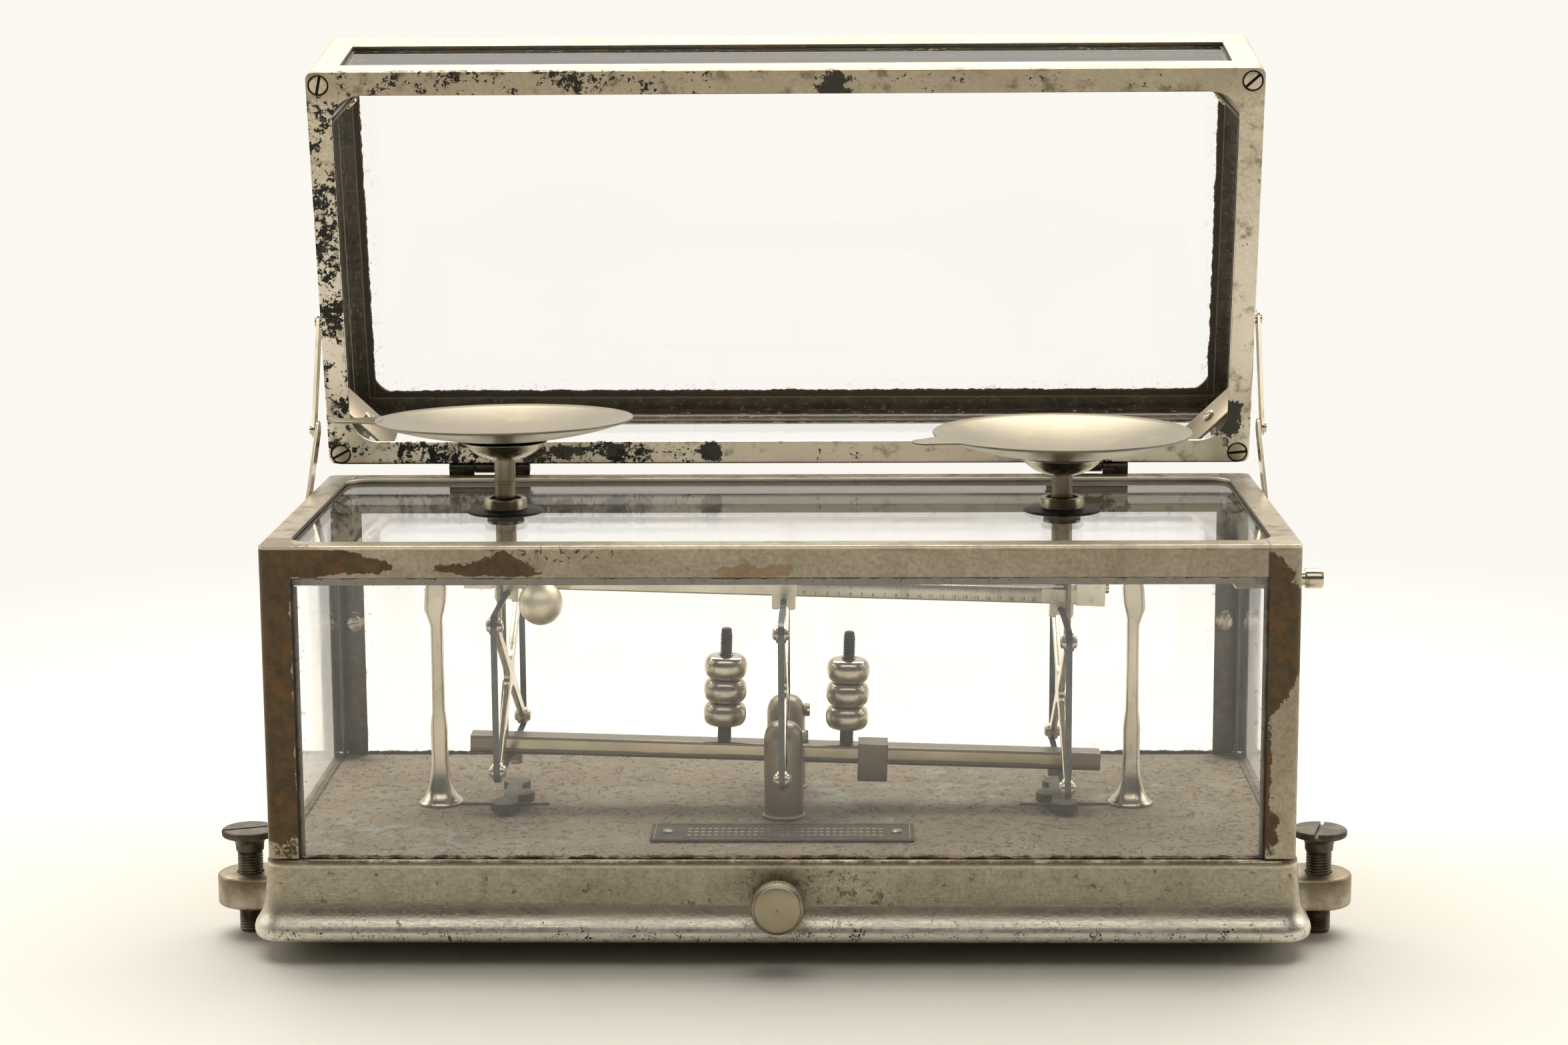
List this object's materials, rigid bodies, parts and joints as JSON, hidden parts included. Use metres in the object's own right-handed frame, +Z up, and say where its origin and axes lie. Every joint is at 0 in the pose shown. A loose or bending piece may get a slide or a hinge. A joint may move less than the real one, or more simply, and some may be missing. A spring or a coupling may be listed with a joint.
{
  "type": "analytical balance",
  "caption": "Torsion-band analytical balance in a glazed metal case, with a hinged glazed lid, pans above the case, beams, poise nuts, arrest and levelling screws.",
  "frame": {"origin": "middle of the whole object's outline at bench level, with the lid open", "axes": "+X to the right along the beams, -Y to the front where the arrest knob is, +Z up"},
  "size_m": [0.4314, 0.244, 0.334],
  "materials": {
    "cast_nickel": "nickel plate on a casting, pitted along the foot",
    "case_nickel": "satin nickel plate on brass sheet, worn through in patches",
    "works_nickel": "polished nickel plate on brass, dulled",
    "stay_nickel": "nickel plate on steel strip, spotted",
    "pan_nickel": "spun nickel silver, lightly scratched",
    "scale_silver": "silvered, with black graduations and numbers",
    "dark_steel": "oiled and darkened",
    "band_steel": "blued steel strip",
    "blackened_brass": "blackened, rubbed at the edge",
    "case_glass": "old plate glass, dusty along its edges",
    "lid_glass": "old plate glass with yellowed putty marks"
  },
  "bodies": {
    "case": {"base_casting": "cast_nickel", "rear_foot": "dark_steel", "case_frame": "case_nickel", "front_glass": "case_glass", "rear_glass": "case_glass", "left_glass": "case_glass", "right_glass": "case_glass", "top_glass": "case_glass", "left_collar": "blackened_brass", "right_collar": "blackened_brass", "front_pillar": "works_nickel", "rear_pillar": "works_nickel", "centre_truss": "works_nickel", "centre_band": "band_steel", "left_stop_post": "works_nickel", "right_stop_post": "works_nickel", "nameplate": "works_nickel", "left_hinge_case_leaf": "case_nickel", "right_hinge_case_leaf": "case_nickel"},
    "lid": {"lid_frame": "case_nickel", "lid_top_glass": "lid_glass", "lid_front_glass": "lid_glass", "lid_rear_glass": "lid_glass", "lid_left_glass": "lid_glass", "lid_right_glass": "lid_glass", "left_hinge_lid_leaf": "case_nickel", "right_hinge_lid_leaf": "case_nickel"},
    "left_lower_link": {"left_stay_lower": "stay_nickel"},
    "left_upper_link": {"left_stay_upper": "stay_nickel"},
    "right_lower_link": {"right_stay_lower": "stay_nickel"},
    "right_upper_link": {"right_stay_upper": "stay_nickel"},
    "top_beam": {"upper_beam": "works_nickel", "scale_plate": "scale_silver"},
    "bottom_beam": {"lower_beam": "works_nickel", "left_poise_rod": "dark_steel", "right_poise_rod": "dark_steel"},
    "left_nut_1": {"left_lower_poise_nut": "works_nickel"},
    "left_nut_2": {"left_middle_poise_nut": "works_nickel"},
    "left_nut_3": {"left_upper_poise_nut": "works_nickel"},
    "right_nut_1": {"right_lower_poise_nut": "works_nickel"},
    "right_nut_2": {"right_middle_poise_nut": "works_nickel"},
    "right_nut_3": {"right_upper_poise_nut": "works_nickel"},
    "slider": {"beam_slider": "works_nickel"},
    "ball": {"ball_weight": "works_nickel"},
    "left_stand": {"left_truss": "works_nickel", "left_band": "band_steel", "left_pan_support": "works_nickel"},
    "right_stand": {"right_truss": "works_nickel", "right_band": "band_steel", "right_pan_support": "works_nickel"},
    "left_dish": {"left_pan": "pan_nickel"},
    "right_dish": {"right_pan": "pan_nickel"},
    "rider": {"rider_rod": "works_nickel"},
    "knob": {"arrest_knob": "works_nickel", "arrest_shaft": "dark_steel"},
    "lifter": {"lifting_bar": "dark_steel", "left_arrest_pad": "works_nickel", "right_arrest_pad": "works_nickel"},
    "left_screw": {"left_levelling_screw": "dark_steel"},
    "right_screw": {"right_levelling_screw": "dark_steel"}
  },
  "joints": [
    {"name": "lid_hinge", "type": "hinge", "parent": "case", "child": "lid", "pos_m": [0, 0.06041, 0.15814], "axis": [1, 0, 0], "range_deg": [0, 79.3]},
    {"name": "left_lower_stay_pivot", "type": "hinge", "parent": "case", "child": "left_lower_link", "pos_m": [-0.1912, 0.00801, 0.1485], "axis": [1, 0, 0], "range_deg": [-17, 0.5]},
    {"name": "right_lower_stay_pivot", "type": "hinge", "parent": "case", "child": "right_lower_link", "pos_m": [0.1912, 0.00801, 0.1485], "axis": [1, 0, 0], "range_deg": [-17, 0.5]},
    {"name": "left_upper_stay_pivot", "type": "hinge", "parent": "lid", "child": "left_upper_link", "pos_m": [-0.1928, 0.06051, 0.2192], "axis": [1, 0, 0], "range_deg": [-0.5, 34]},
    {"name": "right_upper_stay_pivot", "type": "hinge", "parent": "lid", "child": "right_upper_link", "pos_m": [0.1928, 0.06051, 0.2192], "axis": [1, 0, 0], "range_deg": [-0.5, 34]},
    {"name": "upper_beam_swing", "type": "hinge", "parent": "case", "child": "top_beam", "pos_m": [0, -0.02399, 0.1191], "axis": [0, 1, 0], "range_deg": [-3.5, 0]},
    {"name": "lower_beam_swing", "type": "hinge", "parent": "case", "child": "bottom_beam", "pos_m": [0, -0.02399, 0.0545], "axis": [0, 1, 0], "range_deg": [-3.7, 0.2]},
    {"name": "left_truss_pivot", "type": "hinge", "parent": "top_beam", "child": "left_stand", "pos_m": [-0.10795, -0.02399, 0.1224], "axis": [0, 1, 0], "range_deg": [-0.2, 3.7]},
    {"name": "right_truss_pivot", "type": "hinge", "parent": "top_beam", "child": "right_stand", "pos_m": [0.10795, -0.02399, 0.1158], "axis": [0, 1, 0], "range_deg": [-0.2, 3.7]},
    {"name": "left_pan_lift", "type": "slide", "parent": "left_stand", "child": "left_dish", "axis": [0, 0, 1], "range_m": [0, 0.06]},
    {"name": "right_pan_lift", "type": "slide", "parent": "right_stand", "child": "right_dish", "axis": [0, 0, 1], "range_m": [0, 0.06]},
    {"name": "left_nut_1_turn", "type": "hinge", "parent": "bottom_beam", "child": "left_nut_1", "pos_m": [-0.02307, -0.02399, 0.08522], "axis": [0.0305, 0, 0.9995], "continuous": true},
    {"name": "left_nut_2_turn", "type": "hinge", "parent": "bottom_beam", "child": "left_nut_2", "pos_m": [-0.02307, -0.02399, 0.08522], "axis": [0.0305, 0, 0.9995], "continuous": true},
    {"name": "left_nut_3_turn", "type": "hinge", "parent": "bottom_beam", "child": "left_nut_3", "pos_m": [-0.02307, -0.02399, 0.08522], "axis": [0.0305, 0, 0.9995], "continuous": true},
    {"name": "right_nut_1_turn", "type": "hinge", "parent": "bottom_beam", "child": "right_nut_1", "pos_m": [0.02491, -0.02399, 0.08375], "axis": [0.0305, 0, 0.9995], "continuous": true},
    {"name": "right_nut_2_turn", "type": "hinge", "parent": "bottom_beam", "child": "right_nut_2", "pos_m": [0.02491, -0.02399, 0.08375], "axis": [0.0305, 0, 0.9995], "continuous": true},
    {"name": "right_nut_3_turn", "type": "hinge", "parent": "bottom_beam", "child": "right_nut_3", "pos_m": [0.02491, -0.02399, 0.08375], "axis": [0.0305, 0, 0.9995], "continuous": true},
    {"name": "slider_travel", "type": "slide", "parent": "bottom_beam", "child": "slider", "axis": [0.9995, 0, -0.0305], "range_m": [-0.001, 0.06]},
    {"name": "ball_turn", "type": "hinge", "parent": "top_beam", "child": "ball", "pos_m": [-0.09295, -0.02399, 0.12554], "axis": [0, 1, 0], "continuous": true},
    {"name": "rider_slide", "type": "slide", "parent": "case", "child": "rider", "axis": [1, 0, 0], "range_m": [-0.008, 0.05]},
    {"name": "arrest_turn", "type": "hinge", "parent": "case", "child": "knob", "pos_m": [-0.0008, -0.08, 0.0228], "axis": [0, 1, 0], "range_deg": [-0.5, 90.5]},
    {"name": "arrest_lift", "type": "slide", "parent": "case", "child": "lifter", "axis": [0, 0, 1], "range_m": [0, 0.0022]},
    {"name": "left_screw_turn", "type": "hinge", "parent": "case", "child": "left_screw", "pos_m": [-0.2033, -0.07099, 0.02], "axis": [0, 0, 1], "continuous": true},
    {"name": "right_screw_turn", "type": "hinge", "parent": "case", "child": "right_screw", "pos_m": [0.2033, -0.07099, 0.02], "axis": [0, 0, 1], "continuous": true}
  ],
  "couplings": [
    {"joint": "left_lower_stay_pivot", "follows": "lid_hinge", "ratio": -0.2066},
    {"joint": "right_lower_stay_pivot", "follows": "lid_hinge", "ratio": -0.2066},
    {"joint": "left_upper_stay_pivot", "follows": "lid_hinge", "ratio": 0.4194},
    {"joint": "right_upper_stay_pivot", "follows": "lid_hinge", "ratio": 0.4194},
    {"joint": "lower_beam_swing", "follows": "upper_beam_swing", "ratio": 1},
    {"joint": "left_truss_pivot", "follows": "upper_beam_swing", "ratio": -1},
    {"joint": "right_truss_pivot", "follows": "upper_beam_swing", "ratio": -1},
    {"joint": "arrest_turn", "follows": "arrest_lift", "rad_per_m": 713.98}
  ]
}
